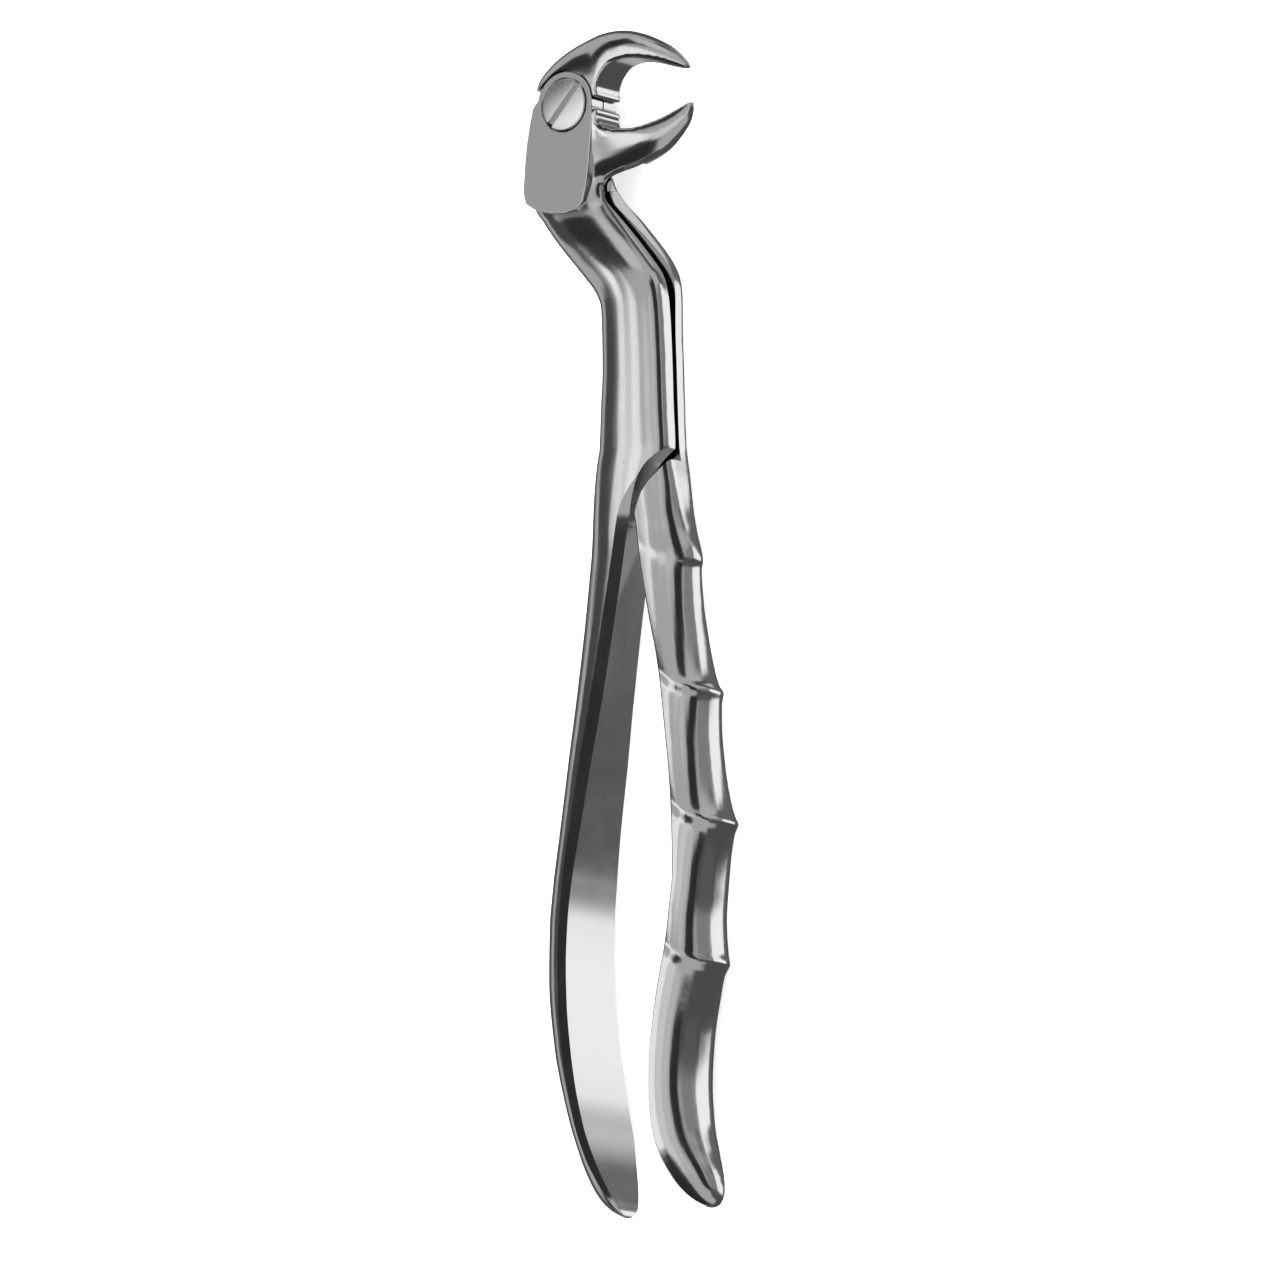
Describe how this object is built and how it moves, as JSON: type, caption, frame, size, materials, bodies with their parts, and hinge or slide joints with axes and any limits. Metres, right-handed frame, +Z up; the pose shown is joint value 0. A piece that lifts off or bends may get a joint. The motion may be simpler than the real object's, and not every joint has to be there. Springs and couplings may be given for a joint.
{
  "type": "extraction forceps",
  "caption": "Hawk-bill extraction forceps for lower molars: hooked beaks square to the handles, screw lap joint, offset shank, plain palm handle and grooved finger handle.",
  "frame": {"origin": "on the surface the forceps lies on, under the middle of its box", "axes": "+Y along the forceps from the handle ends towards the beaks; +X the way the beaks point; +Z up, out of the side with the screw's head"},
  "size_m": [0.0362, 0.1789, 0.0148],
  "materials": {
    "front_steel": "polished stainless steel, satin on the joint plate",
    "rear_steel": "polished stainless steel",
    "screw_steel": "satin stainless steel"
  },
  "bodies": {
    "rear": {"rear_half": "rear_steel", "pivot_screw": "screw_steel"},
    "front": {"front_half": "front_steel"}
  },
  "joints": [
    {"name": "jaw_hinge", "type": "hinge", "parent": "rear", "child": "front", "pos_m": [-0.0104, 0.0787, 0.0074], "axis": [0, 0, -1], "range_deg": [-1.5, 20]}
  ]
}
